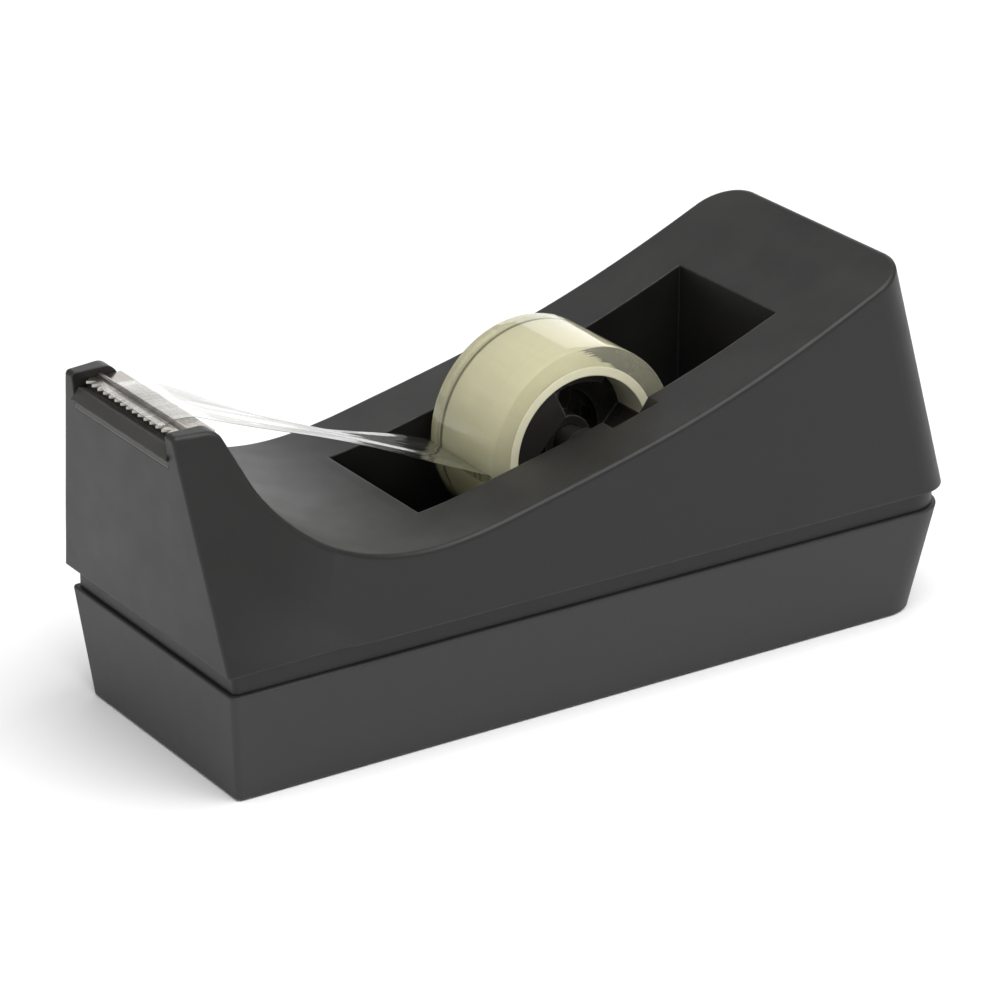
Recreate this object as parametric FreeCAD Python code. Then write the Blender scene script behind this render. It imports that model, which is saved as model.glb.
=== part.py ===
import FreeCAD, Part
import math
import os

# Weighted desktop tape dispenser, millimetres.
# +X runs from the cutter end to the rear, +Z is up, and Y = 0 is the middle plane.
# The origin is the centre of the footprint, on the surface that it stands on.
# In V() and in the dimensions below, x is counted from the foremost point of the object.

# overall
LENGTH = 149.6
PAD_PROUD = 0.4

# tray: the weighted lower half, tapering downwards
TRAY_TOP_Z = 19.7
TRAY_HALF_TOP = 26.75
TRAY_HALF_BOTTOM = 24.2
TRAY_FRONT_TOP = 5.2
TRAY_FRONT_BOTTOM = 7.2
TRAY_REAR_TOP = 149.5
TRAY_REAR_BOTTOM = 145.9
TRAY_WALL = 2.0
TRAY_FLOOR = 2.6
PAD_INSET = 3.0
PAD_GAP = 0.2
PAD_RECESS = 0.8
CORNER_R = 7.7
FRONT_R = 1.0

# housing: the upper half with the tower, the saddle and the well
BODY_Z = 23.6
BODY_TOP_Z = 68.0
BODY_HALF = 27.75
BODY_DRAFT = 0.0294
BODY_FRONT = 4.4
FRONT_LEAN = 0.094
BODY_REAR = 149.6
REAR_LEAN = 0.259
SKIN = 2.2
SKIRT_INSET = 0.85
TONGUE_DEPTH = 4.0
TONGUE_WALL = 1.6
TONGUE_GAP = 0.25
BAND_WALL = 2.0
LEDGE_THICK = 1.8

# tower: the two cheeks and the facets that narrow it towards its top
CHEEK_TOP_Z = 62.0
CHEEK_REAR = 8.4
CHEEK_GAP_HALF = 15.3
TOWER_TAPER = 0.254
TOWER_STEP = 0.3
FACET_SPARE = 4.0
FLARE_OVERRUN = 1.02
FACET_SKIN = 1.2
SIDE_EDGE_Y = 10.0
TOWER_EDGE_HIGH = 30.0
RIM_LOW_Z = 35.0
POCKET_Z = 56.0
POCKET_REAR = 10.0
CAVITY_TOP_Z = 53.5
CHEEK_ROUND = 2.6
RIM_ROUND = 0.8
TRAY_ROUND = 0.35

# well for the roll, and the slots that the spindle drops into
WELL_FRONT = 47.8
WELL_REAR = 119.4
WELL_HALF = 14.1
WELL_WALL = 2.0
WELL_FLOOR_Z = 10.2
SLOT_DEPTH = 3.0
SLOT_WIDTH = 6.1
SLOT_LEAN = 35.0
GUIDE_WALL = 1.8
GUIDE_ZONE = 24.0

# reel: spindle, hub, core and roll
AXIS_X = 83.3
AXIS_Z = 38.8
SPINDLE_R = 3.0
SPINDLE_HALF = 16.9
SPINDLE_FLAT = 5.9
COLLAR_IN = 9.5
COLLAR_R = 3.9
COLLAR_OUT = 13.6
HUB_R = 13.0
HUB_HALF = 9.2
HUB_WEB = 1.6
HUB_BORE_R = 3.08
HUB_BOSS_R = 4.6
HUB_BOSS_HALF = 5.0
HUB_RING_R = 8.4
HUB_SPOKE = 2.4
GRIP_CHORD = 6.9
GRIP_ANGLE = 137.6
GRIP_SPAN = (-21.6, 57.0)
RIM_SPAN = (-72.0, -20.0)
RIM_WALL = 1.5
RIM_HALF = 8.0
CORE_R = 14.6
ROLL_R = 18.1
TAPE_HALF = 9.5

# cutter
HOLDER_TOP_Z = 60.1
FASCIA = ((3.6, 59.0), (2.0, 59.4), (0.5, 57.6), (1.3, 57.0))
BLADE_THICK = 0.5
BLADE_TIP = 2.9
BLADE_REAR = 9.8
BLADE_HALF = 15.2
HOLDER_GAP = 0.05
BEAD_X = 5.9
BEAD_RISE = 0.55
BEAD_FLAT = 0.4
BEAD_SLOPE = 1.0
TOOTH_PITCH = 1.9
TOOTH_DEPTH = 1.3
TAPE_THICK = 0.25
TAPE_GAP = 0.3
TAPE_LIFT = 0.05
TAPE_BEND_LIFT = 0.2

# fixings
SCREW_X = (14.0, 134.0)
BOSS_TOP_Z = (44.5, 60.5)
SCREW_Y = 15.0
SCREW_R = 1.4
SCREW_HEAD_R = 2.8
SCREW_HEAD_HIGH = 1.8
DRIVE_DEPTH = 0.8
DRIVE_HALF = 0.4
DRIVE_REACH = 1.8
SCREW_HEAD_Z = 3.4
SCREW_TOP_Z = 17.0
SCREW_GAP = 0.2
HEAD_GAP = 0.3
BOSS_R = 3.2
SLEEVE_R = 5.2
SLEEVE_TOP_Z = 5.8

# ballast
BALLAST_HALF = 22.0
BALLAST_INSET = 2.6
BALLAST_GAP = 0.3
BALLAST_WELL_GAP = 0.5


def V(x, y, z):
    return FreeCAD.Vector(x - LENGTH / 2, y, z)


UP = FreeCAD.Vector(0, 0, 1)
ACROSS = FreeCAD.Vector(0, 1, 0)
WIDE = 40
SPARE = 10
TINY = 0.01


def save(name, shape):
    shape = shape.removeSplitter()
    shape.exportStep("parts/" + name + ".step")
    print(name, "solids", len(shape.Solids), "volume %.0f" % shape.Volume, "valid", shape.isValid())


def box(x0, x1, y0, y1, z0, z1):
    return Part.makeBox(x1 - x0, y1 - y0, z1 - z0, V(x0, y0, z0))


def rod(radius, x, z, y0, y1):
    """A cylinder along Y."""
    return Part.makeCylinder(radius, y1 - y0, V(x, y0, z), ACROSS)


def post(radius, x, y, z0, z1):
    """A cylinder along Z."""
    return Part.makeCylinder(radius, z1 - z0, V(x, y, z0), UP)


def face_of(points):
    return Part.Face(Part.makePolygon(points + [points[0]]))


def outline(front, rear, half, z, corner, front_corner=FRONT_R):
    """Plan outline at one height, anticlockwise from the middle of the front."""
    def arc(x, y, radius, start):
        turns = [math.radians(start + step) for step in (0, 45, 90)]
        points = [V(x + radius * math.cos(turn), y + radius * math.sin(turn), z) for turn in turns]
        return Part.Arc(*points).toShape()

    def line(x0, y0, x1, y1):
        return Part.LineSegment(V(x0, y0, z), V(x1, y1, z)).toShape()

    near = front + front_corner
    far = rear - corner
    near_y = half - front_corner
    far_y = half - corner
    edges = [arc(near, -near_y, front_corner, 180), line(near, -half, far, -half),
             arc(far, -far_y, corner, 270), line(rear, -far_y, rear, far_y),
             arc(far, far_y, corner, 0), line(far, half, near, half),
             arc(near, near_y, front_corner, 90), line(front, near_y, front, -near_y)]
    return Part.Wire(edges)


def slab(front, rear, half, corner, z0, z1):
    """A straight-sided block on the plan outline."""
    return Part.Face(outline(front, rear, half, z0, corner)).extrude(UP * (z1 - z0))


def taper(bottom, top, z0, z1, corner_bottom, corner_top):
    """A block between two plan outlines, each given as (front, rear, half width)."""
    wires = [outline(*bottom, z0, corner_bottom), outline(*top, z1, corner_top)]
    return Part.makeLoft(wires, True, True)


# ---------------------------------------------------------------- tray

def tray_section(z, inset):
    """Front, rear and half width of the tray at height z."""
    k = z / TRAY_TOP_Z
    front = TRAY_FRONT_BOTTOM + k * (TRAY_FRONT_TOP - TRAY_FRONT_BOTTOM) + inset
    rear = TRAY_REAR_BOTTOM + k * (TRAY_REAR_TOP - TRAY_REAR_BOTTOM) - inset
    half = TRAY_HALF_BOTTOM + k * (TRAY_HALF_TOP - TRAY_HALF_BOTTOM) - inset
    return front, rear, half


def tray_block(z0, z1, inset):
    corner = CORNER_R - inset
    return taper(tray_section(z0, inset), tray_section(z1, inset), z0, z1, corner, corner)


def screw_places():
    return [(x, side * SCREW_Y) for x in SCREW_X for side in (-1, 1)]


def base_tray():
    floor_z = PAD_PROUD + TRAY_FLOOR
    tray = tray_block(PAD_PROUD, TRAY_TOP_Z, 0)
    rim = [edge for edge in tray.Edges if edge.BoundBox.ZMin > TRAY_TOP_Z - TINY]
    tray = tray.makeFillet(TRAY_ROUND, rim)
    tray = tray.cut(tray_block(floor_z, TRAY_TOP_Z + 1, TRAY_WALL))
    recess_top = PAD_PROUD + PAD_RECESS
    tray = tray.cut(tray_block(0, recess_top, PAD_INSET))
    for x, y in screw_places():
        tray = tray.fuse(post(SLEEVE_R, x, y, recess_top, SLEEVE_TOP_Z))
    for x, y in screw_places():
        tray = tray.cut(post(SCREW_HEAD_R + HEAD_GAP, x, y, 0, SCREW_HEAD_Z))
        tray = tray.cut(post(SCREW_R + SCREW_GAP, x, y, 0, SLEEVE_TOP_Z + 1))
    return tray


def foam_pad():
    return tray_block(0, PAD_PROUD + PAD_RECESS, PAD_INSET + PAD_GAP)


def ballast():
    floor_z = PAD_PROUD + TRAY_FLOOR
    top_z = TRAY_TOP_Z - TONGUE_DEPTH - BALLAST_GAP
    block = slab(TRAY_FRONT_BOTTOM + BALLAST_INSET, TRAY_REAR_BOTTOM - BALLAST_INSET, BALLAST_HALF,
                 CORNER_R - BALLAST_INSET, floor_z, top_z)
    gap = WELL_WALL + BALLAST_WELL_GAP
    block = block.cut(box(
        WELL_FRONT - gap, WELL_REAR + gap, -WELL_HALF - gap, WELL_HALF + gap,
        WELL_FLOOR_Z - WELL_WALL - BALLAST_GAP, TRAY_TOP_Z))
    for x, y in screw_places():
        block = block.cut(post(SLEEVE_R + BALLAST_GAP, x, y, 0, TRAY_TOP_Z))
    return block


def housing_screws():
    screws = []
    for x, y in screw_places():
        bottom = SCREW_HEAD_Z - SCREW_HEAD_HIGH
        head = post(SCREW_HEAD_R, x, y, bottom, SCREW_HEAD_Z)
        top = bottom + DRIVE_DEPTH
        slot = box(x - DRIVE_HALF, x + DRIVE_HALF, y - DRIVE_REACH, y + DRIVE_REACH, bottom, top)
        cross = box(x - DRIVE_REACH, x + DRIVE_REACH, y - DRIVE_HALF, y + DRIVE_HALF, bottom, top)
        shank = post(SCREW_R, x, y, SCREW_HEAD_Z, SCREW_TOP_Z)
        screws.append(head.cut(slot).cut(cross).fuse(shank).removeSplitter())
    return Part.makeCompound(screws)


# ---------------------------------------------------------------- housing

def body_half(z):
    return BODY_HALF - BODY_DRAFT * (z - BODY_Z)


def body_front(z):
    return BODY_FRONT - FRONT_LEAN * (z - BODY_Z)


def body_rear(z):
    return BODY_REAR - REAR_LEAN * (z - BODY_Z)


def body_prism():
    """The drafted block that the body is cut from, with square front corners."""
    z0, z1 = BODY_Z, BODY_TOP_Z + 2
    block = taper((body_front(z0) - WIDE, body_rear(z0), body_half(z0)),
                  (body_front(z1) - WIDE, body_rear(z1), body_half(z1)), z0, z1, CORNER_R, CORNER_R)
    front = [V(body_front(z0), -WIDE, z0), V(body_front(z1), -WIDE, z1), V(-2 * WIDE, -WIDE, z1),
             V(-2 * WIDE, -WIDE, z0)]
    return block.cut(face_of(front).extrude(ACROSS * (2 * WIDE)))


SADDLE = ((12.2, 53.7), (14.9, 49.2), (21.5, 43.0), (31.7, 38.4), (42.7, 37.0),
          (62.8, 40.1), (93.2, 47.7), (119.2, 57.2), (138.6, 66.0), (150.0, 71.4))


def saddle_edges():
    """Top line of the side view, leaving the back of the tower in line with it."""
    fall = V(SADDLE[0][0], 0, SADDLE[0][1]) - V(CHEEK_REAR, 0, CHEEK_TOP_Z)
    curve = Part.BSplineCurve()
    curve.interpolate(
        Points=[V(x, 0, z) for x, z in SADDLE],
        Tangents=[fall] * len(SADDLE),
        TangentFlags=[True] + [False] * (len(SADDLE) - 1))
    return curve.toShape()


def side_profile():
    """The body in side view, as a plate through the whole width."""
    front = BODY_FRONT - SPARE
    back = SADDLE[-1][0] + SPARE
    fall = math.atan2(CHEEK_TOP_Z - SADDLE[0][1], SADDLE[0][0] - CHEEK_REAR)
    reach = CHEEK_ROUND * math.tan(fall / 2)
    arc_start = V(CHEEK_REAR - reach, 0, CHEEK_TOP_Z)
    arc_end = V(CHEEK_REAR + reach * math.cos(fall), 0, CHEEK_TOP_Z - reach * math.sin(fall))
    arc_middle = V(CHEEK_REAR - reach + CHEEK_ROUND * math.sin(fall / 2), 0,
                   CHEEK_TOP_Z - CHEEK_ROUND * (1 - math.cos(fall / 2)))
    end = V(SADDLE[-1][0], 0, SADDLE[-1][1])
    corners = [end, V(back, 0, SADDLE[-1][1]), V(back, 0, 0), V(front, 0, 0), V(front, 0, CHEEK_TOP_Z),
               arc_start]
    edges = [Part.Arc(arc_start, arc_middle, arc_end).toShape(),
             Part.LineSegment(arc_end, V(SADDLE[0][0], 0, SADDLE[0][1])).toShape(),
             saddle_edges()]
    edges += [Part.LineSegment(a, b).toShape() for a, b in zip(corners, corners[1:])]
    face = Part.Face(Part.Wire(edges))
    face.translate(ACROSS * -WIDE)
    return face.extrude(ACROSS * (2 * WIDE))


# height, then the crease's distance and half width, then the run back to the body's side
FACETS = ((20.0, 28.0, 27.8, 4.0), (28.4, 19.4, 27.5, 5.6), (34.0, 14.9, 27.0, 8.1),
          (40.0, 12.3, 25.1, 11.7), (45.3, 11.4, 23.5, 13.1), (50.0, 11.0, 22.25, 14.5),
          (55.4, 10.2, 20.8, 16.3), (62.0, 9.2, 18.9, 18.8), (68.0, 8.2, 17.1, 21.8))


def facet_tool(side):
    """What narrows the tower: the space outside its side and outside the flare behind it."""
    wires = []
    for z, crease, half, run in FACETS:
        front = body_front(z)
        front_half = BODY_HALF - TOWER_STEP - TOWER_TAPER * (z - BODY_Z)
        slope = (half - front_half) / (crease - front)
        reach = front - FACET_SPARE
        far = crease + run * FLARE_OVERRUN
        near_end = V(reach, side * (front_half - FACET_SPARE * slope), z)
        far_end = V(far, side * (half + (body_half(z) - half) * FLARE_OVERRUN), z)
        valley = V(crease, side * half, z)
        outside = side * (BODY_HALF + 2 * FACET_SPARE)
        curve = Part.BezierCurve()
        curve.setPoles([near_end, valley, valley, valley, far_end])
        corners = [far_end, V(far, outside, z), V(reach, outside, z), near_end]
        lines = [Part.LineSegment(start, end).toShape() for start, end in zip(corners, corners[1:])]
        wires.append(Part.Wire([curve.toShape()] + lines))
    return Part.makeLoft(wires, True, False)


def edges_where(shape, test):
    """Edges whose bounding box, in distances from the foremost point, passes a test."""
    chosen = []
    for edge in shape.Edges:
        span = edge.BoundBox
        if test(span.XMin + LENGTH / 2, span.XMax + LENGTH / 2, abs(span.YMin + span.YMax) / 2,
                span.ZMin, span.ZMax):
            chosen.append(edge)
    return chosen


def outer_body():
    """The closed outer shape of the housing, with a fine radius on its upper edges."""
    body = body_prism().common(side_profile())
    for side in (-1, 1):
        body = body.cut(facet_tool(side))

    def upper_edge(x0, x1, y, z0, z1):
        on_tower = x1 < BODY_FRONT + 1 and z1 - z0 > TOWER_EDGE_HIGH
        on_side = y > SIDE_EDGE_Y and (on_tower or z0 > RIM_LOW_Z)
        smooth_seam = y < 1 and x1 - x0 < TINY and CHEEK_REAR - 2 < x0 < WELL_FRONT
        return on_side or (z0 > CHEEK_TOP_Z - TINY and not smooth_seam)

    return body.makeFillet(RIM_ROUND, edges_where(body, upper_edge))


def lid(offset, z0):
    """The side profile lowered and pulled in by an offset, as a plate through the width."""
    points = []
    count = len(SADDLE)
    for i, (x, z) in enumerate(SADDLE):
        before = SADDLE[max(i - 1, 0)]
        after = SADDLE[min(i + 1, count - 1)]
        run = after[0] - before[0]
        rise = after[1] - before[1]
        size = math.hypot(run, rise)
        points.append((x + offset * rise / size, z - offset * run / size))
    front = BODY_FRONT - 2 * SPARE
    outline_points = [(front, z0), (front, CAVITY_TOP_Z), (points[0][0] - 1.0, CAVITY_TOP_Z)]
    outline_points += points[1:]
    outline_points += [(SADDLE[-1][0] + SPARE, points[-1][1]), (SADDLE[-1][0] + SPARE, z0)]
    face = face_of([V(x, -WIDE, z) for x, z in outline_points])
    return face.extrude(ACROSS * (2 * WIDE))


def cavity():
    """The hollow under the skin, open at the bottom."""
    sections = []
    for z in (BODY_Z - 1, BODY_TOP_Z + 2):
        half = body_half(z) - SKIN
        sections.append((body_front(z) + SKIN, body_rear(z) - SKIN, half))
    corner = CORNER_R - SKIN
    hollow = taper(sections[0], sections[1], BODY_Z - 1, BODY_TOP_Z + 2, corner, corner)
    hollow = hollow.common(lid(SKIN, BODY_Z - 2))
    for side in (-1, 1):
        tool = facet_tool(side)
        tool.translate(ACROSS * (-side * SKIN * FACET_SKIN))
        hollow = hollow.cut(tool)
    return hollow


def skirt():
    """The recessed band between the two halves, and the tongue that drops into the tray."""
    front, rear, half = tray_section(TRAY_TOP_Z, SKIRT_INSET)
    band = slab(front, rear, half, CORNER_R - SKIRT_INSET, TRAY_TOP_Z, BODY_Z + 0.5)
    inner = slab(front + BAND_WALL, rear - BAND_WALL, half - BAND_WALL, CORNER_R - SKIRT_INSET - BAND_WALL,
                 TRAY_TOP_Z - 1, BODY_Z + 1)
    band = band.cut(inner)
    tongue_inset = TRAY_WALL + TONGUE_GAP
    front, rear, half = tray_section(TRAY_TOP_Z - TONGUE_DEPTH, tongue_inset)
    corner = CORNER_R - tongue_inset
    tongue = slab(front, rear, half, corner, TRAY_TOP_Z - TONGUE_DEPTH, BODY_Z)
    hole = slab(front + TONGUE_WALL, rear - TONGUE_WALL, half - TONGUE_WALL, corner - TONGUE_WALL,
                TRAY_TOP_Z - TONGUE_DEPTH - 1, BODY_Z + 1)
    return band.fuse(tongue.cut(hole))


def ledge():
    """The flat rim that joins the body's skin to the recessed band."""
    front, rear, half = tray_section(TRAY_TOP_Z, SKIRT_INSET)
    plate = slab(body_front(BODY_Z), body_rear(BODY_Z), BODY_HALF, CORNER_R, BODY_Z, BODY_Z + LEDGE_THICK)
    hole = slab(front + BAND_WALL, rear - BAND_WALL, half - BAND_WALL, CORNER_R - SKIRT_INSET - BAND_WALL,
                BODY_Z - 1, BODY_Z + LEDGE_THICK + 1)
    return plate.cut(hole)


def slot_cutter(side, grow, depth):
    """A leaning channel from the spindle's seat to above the saddle."""
    width = SLOT_WIDTH + 2 * grow
    y0, y1 = sorted((side * (WELL_HALF - 1), side * (WELL_HALF + depth)))
    run = box(AXIS_X - width / 2, AXIS_X + width / 2, y0, y1, AXIS_Z, AXIS_Z + WIDE)
    run = run.fuse(rod(width / 2, AXIS_X, AXIS_Z, y0, y1))
    run.rotate(V(AXIS_X, 0, AXIS_Z), ACROSS, SLOT_LEAN)
    return run


def upper_housing():
    solid = outer_body()
    shell = solid.cut(cavity())
    keep = solid.fuse(box(WELL_FRONT - SPARE, WELL_REAR + SPARE, -GUIDE_ZONE, GUIDE_ZONE, 0, BODY_Z + 2))
    shell = shell.fuse(ledge().common(solid)).fuse(skirt())
    well_outside = box(WELL_FRONT - WELL_WALL, WELL_REAR + WELL_WALL, -WELL_HALF - WELL_WALL,
                       WELL_HALF + WELL_WALL, WELL_FLOOR_Z - WELL_WALL, BODY_TOP_Z)
    well_inside = box(WELL_FRONT, WELL_REAR, -WELL_HALF, WELL_HALF, WELL_FLOOR_Z, BODY_TOP_Z + SPARE)
    shell = shell.fuse(well_outside.common(keep))
    for side in (-1, 1):
        guide = slot_cutter(side, GUIDE_WALL, SLOT_DEPTH + GUIDE_WALL)
        shell = shell.fuse(guide.common(keep))
    for x, y in screw_places():
        top = BOSS_TOP_Z[0] if x == SCREW_X[0] else BOSS_TOP_Z[1]
        shell = shell.fuse(post(BOSS_R, x, y, SLEEVE_TOP_Z, top))
    shell = shell.cut(well_inside)
    for side in (-1, 1):
        shell = shell.cut(slot_cutter(side, 0, SLOT_DEPTH))
    for x, y in screw_places():
        shell = shell.cut(post(SCREW_R, x, y, 0, SCREW_TOP_Z + 1))
    pocket = box(-SPARE, POCKET_REAR, -CHEEK_GAP_HALF, CHEEK_GAP_HALF, POCKET_Z, CHEEK_TOP_Z + SPARE)
    return shell.cut(pocket)


# ---------------------------------------------------------------- cutter

def blade_holder():
    """Moulded insert between the cheeks: a seat for the blade with a sloping fascia bar in front."""
    half = CHEEK_GAP_HALF - HOLDER_GAP
    side = [(FASCIA[0][0], HOLDER_TOP_Z), *FASCIA, (FASCIA[-1][0], POCKET_Z), (POCKET_REAR, POCKET_Z),
            (POCKET_REAR, HOLDER_TOP_Z)]
    return face_of([V(x, -half, z) for x, z in side]).extrude(ACROSS * (2 * half))


def cutter_blade():
    """Serrated strip with a stiffening bead along it."""
    top = HOLDER_TOP_Z + BLADE_THICK
    root = BLADE_TIP + TOOTH_DEPTH
    blade = box(root, BLADE_REAR, -BLADE_HALF, BLADE_HALF, HOLDER_TOP_Z, top)
    count = int(2 * BLADE_HALF / TOOTH_PITCH)
    first = -count * TOOTH_PITCH / 2
    for i in range(count):
        y = first + i * TOOTH_PITCH
        tooth = face_of([V(root, y, HOLDER_TOP_Z), V(BLADE_TIP, y + TOOTH_PITCH / 2, HOLDER_TOP_Z),
                         V(root, y + TOOTH_PITCH, HOLDER_TOP_Z)])
        blade = blade.fuse(tooth.extrude(UP * BLADE_THICK))
    bead = rod(BEAD_RISE, BEAD_X, top, -BLADE_HALF, BLADE_HALF)
    above = box(BEAD_X - 1, BEAD_X + 1, -BLADE_HALF, BLADE_HALF, top - 0.1, top + 1)
    return blade.fuse(bead.common(above))


# ---------------------------------------------------------------- reel

def spindle():
    """Axle with a collar on each side and flats that ride in the slots."""
    shaft = rod(SPINDLE_R, AXIS_X, AXIS_Z, -SPINDLE_HALF, SPINDLE_HALF)
    for side in (-1, 1):
        y0, y1 = sorted((side * COLLAR_IN, side * COLLAR_OUT))
        shaft = shaft.fuse(rod(COLLAR_R, AXIS_X, AXIS_Z, y0, y1))
    half = SPINDLE_FLAT / 2
    for side in (-1, 1):
        y0, y1 = sorted((side * COLLAR_OUT, side * (SPINDLE_HALF + 1)))
        for edge in (-1, 1):
            x0, x1 = sorted((AXIS_X + edge * half, AXIS_X + edge * (half + SPINDLE_R)))
            flat = box(x0, x1, y0, y1, AXIS_Z - SPARE, AXIS_Z + SPARE)
            flat.rotate(V(AXIS_X, 0, AXIS_Z), ACROSS, SLOT_LEAN)
            shaft = shaft.cut(flat)
    return shaft


def sector(a0, a1, radius, y0, y1):
    """A wedge about the axis between two angles, which are counted from +X towards +Z."""
    points = [V(AXIS_X, y0, AXIS_Z)]
    steps = 6
    for i in range(steps + 1):
        angle = math.radians(a0 + (a1 - a0) * i / steps)
        points.append(V(AXIS_X + radius * math.cos(angle), y0, AXIS_Z + radius * math.sin(angle)))
    return face_of(points).extrude(ACROSS * (y1 - y0))


def hub_half(side, turn):
    """One half of the hub: a web with spokes, two D-shaped grips, and a thin rim beside each grip."""
    y0, y1 = sorted((0, side * HUB_HALF))
    w0, w1 = sorted((0, side * HUB_WEB))
    b0, b1 = sorted((0, side * HUB_BOSS_HALF))
    r0, r1 = sorted((0, side * RIM_HALF))
    half = rod(HUB_R, AXIS_X, AXIS_Z, w0, w1).cut(rod(HUB_RING_R, AXIS_X, AXIS_Z, w0, w1))
    half = half.fuse(rod(HUB_BOSS_R, AXIS_X, AXIS_Z, b0, b1))
    for spoke in range(3):
        bar = box(AXIS_X, AXIS_X + HUB_RING_R + 1, w0, w1, AXIS_Z - HUB_SPOKE / 2, AXIS_Z + HUB_SPOKE / 2)
        bar.rotate(V(AXIS_X, 0, AXIS_Z), ACROSS, -(turn + 60 + 120 * spoke))
        half = half.fuse(bar)
    drum = rod(HUB_R, AXIS_X, AXIS_Z, y0, y1)
    rim = rod(HUB_R, AXIS_X, AXIS_Z, r0, r1).cut(rod(HUB_R - RIM_WALL, AXIS_X, AXIS_Z, r0, r1))
    reach = 2 * HUB_R
    for grip in (0, 180):
        angle = turn + grip
        block = box(AXIS_X + GRIP_CHORD, AXIS_X + reach, y0, y1, AXIS_Z - reach, AXIS_Z + reach)
        block.rotate(V(AXIS_X, 0, AXIS_Z), ACROSS, -angle)
        wedge = sector(angle + GRIP_SPAN[0], angle + GRIP_SPAN[1], reach, y0, y1)
        half = half.fuse(drum.common(block).common(wedge))
        half = half.fuse(rim.common(sector(angle + RIM_SPAN[0], angle + RIM_SPAN[1], reach, r0, r1)))
    return half.cut(rod(HUB_BORE_R, AXIS_X, AXIS_Z, -HUB_HALF, HUB_HALF))


def ring(inner, outer):
    return rod(outer, AXIS_X, AXIS_Z, -TAPE_HALF, TAPE_HALF).cut(
        rod(inner, AXIS_X, AXIS_Z, -TAPE_HALF, TAPE_HALF))


def tape_strip():
    """The free end: peeled from the front of the roll and laid over the blade."""
    blade_top = HOLDER_TOP_Z + BLADE_THICK
    flat_z = blade_top + TAPE_LIFT
    bead_z = flat_z + BEAD_RISE
    peel_x = AXIS_X - ROLL_R - TAPE_GAP - TAPE_THICK
    lower = [(BLADE_TIP + TAPE_BEND_LIFT, flat_z), (BEAD_X - BEAD_SLOPE, flat_z),
             (BEAD_X - BEAD_FLAT, bead_z), (BEAD_X + BEAD_FLAT, bead_z),
             (BLADE_REAR, blade_top + TAPE_BEND_LIFT), (peel_x, AXIS_Z - 1)]
    upper = [(x, z + TAPE_THICK) for x, z in lower]
    points = lower + upper[::-1]
    return face_of([V(x, -TAPE_HALF, z) for x, z in points]).extrude(ACROSS * (2 * TAPE_HALF))


def main():
    os.makedirs("parts", exist_ok=True)
    save("base_tray", base_tray())
    save("foam_pad", foam_pad())
    save("ballast", ballast())
    save("housing_screws", housing_screws())
    save("upper_housing", upper_housing())
    save("blade_holder", blade_holder())
    save("cutter_blade", cutter_blade())
    save("spindle", spindle())
    save("hub_near_half", hub_half(-1, GRIP_ANGLE))
    save("hub_far_half", hub_half(1, GRIP_ANGLE + 90))
    save("tape_core", ring(HUB_R, CORE_R))
    save("tape_roll", ring(CORE_R, ROLL_R))
    save("tape_strip", tape_strip())


if __name__ == "__main__":
    main()
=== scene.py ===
import math
import random

import bmesh
import bpy
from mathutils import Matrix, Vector


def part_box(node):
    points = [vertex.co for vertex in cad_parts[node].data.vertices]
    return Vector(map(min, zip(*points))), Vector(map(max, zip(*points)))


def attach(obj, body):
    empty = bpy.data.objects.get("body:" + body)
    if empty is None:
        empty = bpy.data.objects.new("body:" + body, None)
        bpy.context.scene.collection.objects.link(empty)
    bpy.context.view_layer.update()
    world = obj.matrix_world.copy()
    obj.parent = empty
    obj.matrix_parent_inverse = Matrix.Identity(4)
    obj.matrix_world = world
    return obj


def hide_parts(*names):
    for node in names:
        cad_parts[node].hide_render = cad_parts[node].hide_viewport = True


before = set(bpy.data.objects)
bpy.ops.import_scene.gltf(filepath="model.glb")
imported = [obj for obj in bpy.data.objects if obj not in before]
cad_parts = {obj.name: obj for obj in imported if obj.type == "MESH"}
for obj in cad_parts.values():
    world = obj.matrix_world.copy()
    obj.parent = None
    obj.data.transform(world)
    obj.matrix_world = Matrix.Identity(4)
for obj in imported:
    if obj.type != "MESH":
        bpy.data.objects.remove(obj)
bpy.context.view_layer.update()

bl_info = {
    "name": "Desk Tape Dispenser",
    "version": (1, 0, 0),
    "blender": (4, 5, 0),
    "location": "View3D > Sidebar > Dispenser",
    "description": "Finishes a weighted desk tape dispenser: shell, cutter, reel, roll and stage",
    "category": "Object",
}

MM = 0.001

ROLL_LOW, ROLL_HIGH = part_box("tape_roll")
CORE_LOW, CORE_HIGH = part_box("tape_core")
AXIS = (ROLL_LOW + ROLL_HIGH) / 2
ROLL_RADIUS = (ROLL_HIGH.z - ROLL_LOW.z) / 2
CORE_RADIUS = (CORE_HIGH.z - CORE_LOW.z) / 2
TAPE_HALF = (ROLL_HIGH.y - ROLL_LOW.y) / 2

# materials: the noise values between which nearly all of a texture lies, then fixed finishes
LOW, HIGH = 0.3, 0.7
STREAK_LOW, STREAK_HIGH = 0.38, 0.62
PLASTIC_SPECULAR = 0.39
PAPER_SPECULAR = 0.1
DUST_COLOUR = (0.16, 0.155, 0.145, 1.0)

# roll: how far from its far end the painted shadow line lies, and how the layers are wound
SHADOW_LINE_FROM_END = 3.2 * MM
LAYERS = 34
LAYER_STEP = 0.02 * MM
ROLL_TURNS = 160
RIM_CUT = 0.16 * MM
RIM_START = 0.12 * MM
RIM_EASE = (0.03 * MM, 0.05 * MM)

# free end: its clearances over the blade and the roll, and where it lies down on the roll
BEAD_RISE = 0.55 * MM
BEAD_PLACE = 3.0 * MM
STRIP_CLEAR = 0.10 * MM
PEEL_CLEAR = 0.16 * MM
PEEL_ANGLE = math.radians(3.2)
END_ANGLE = math.radians(9.0)
STRIP_STEP = 0.9 * MM
STRIP_COLUMNS = 44

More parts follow.
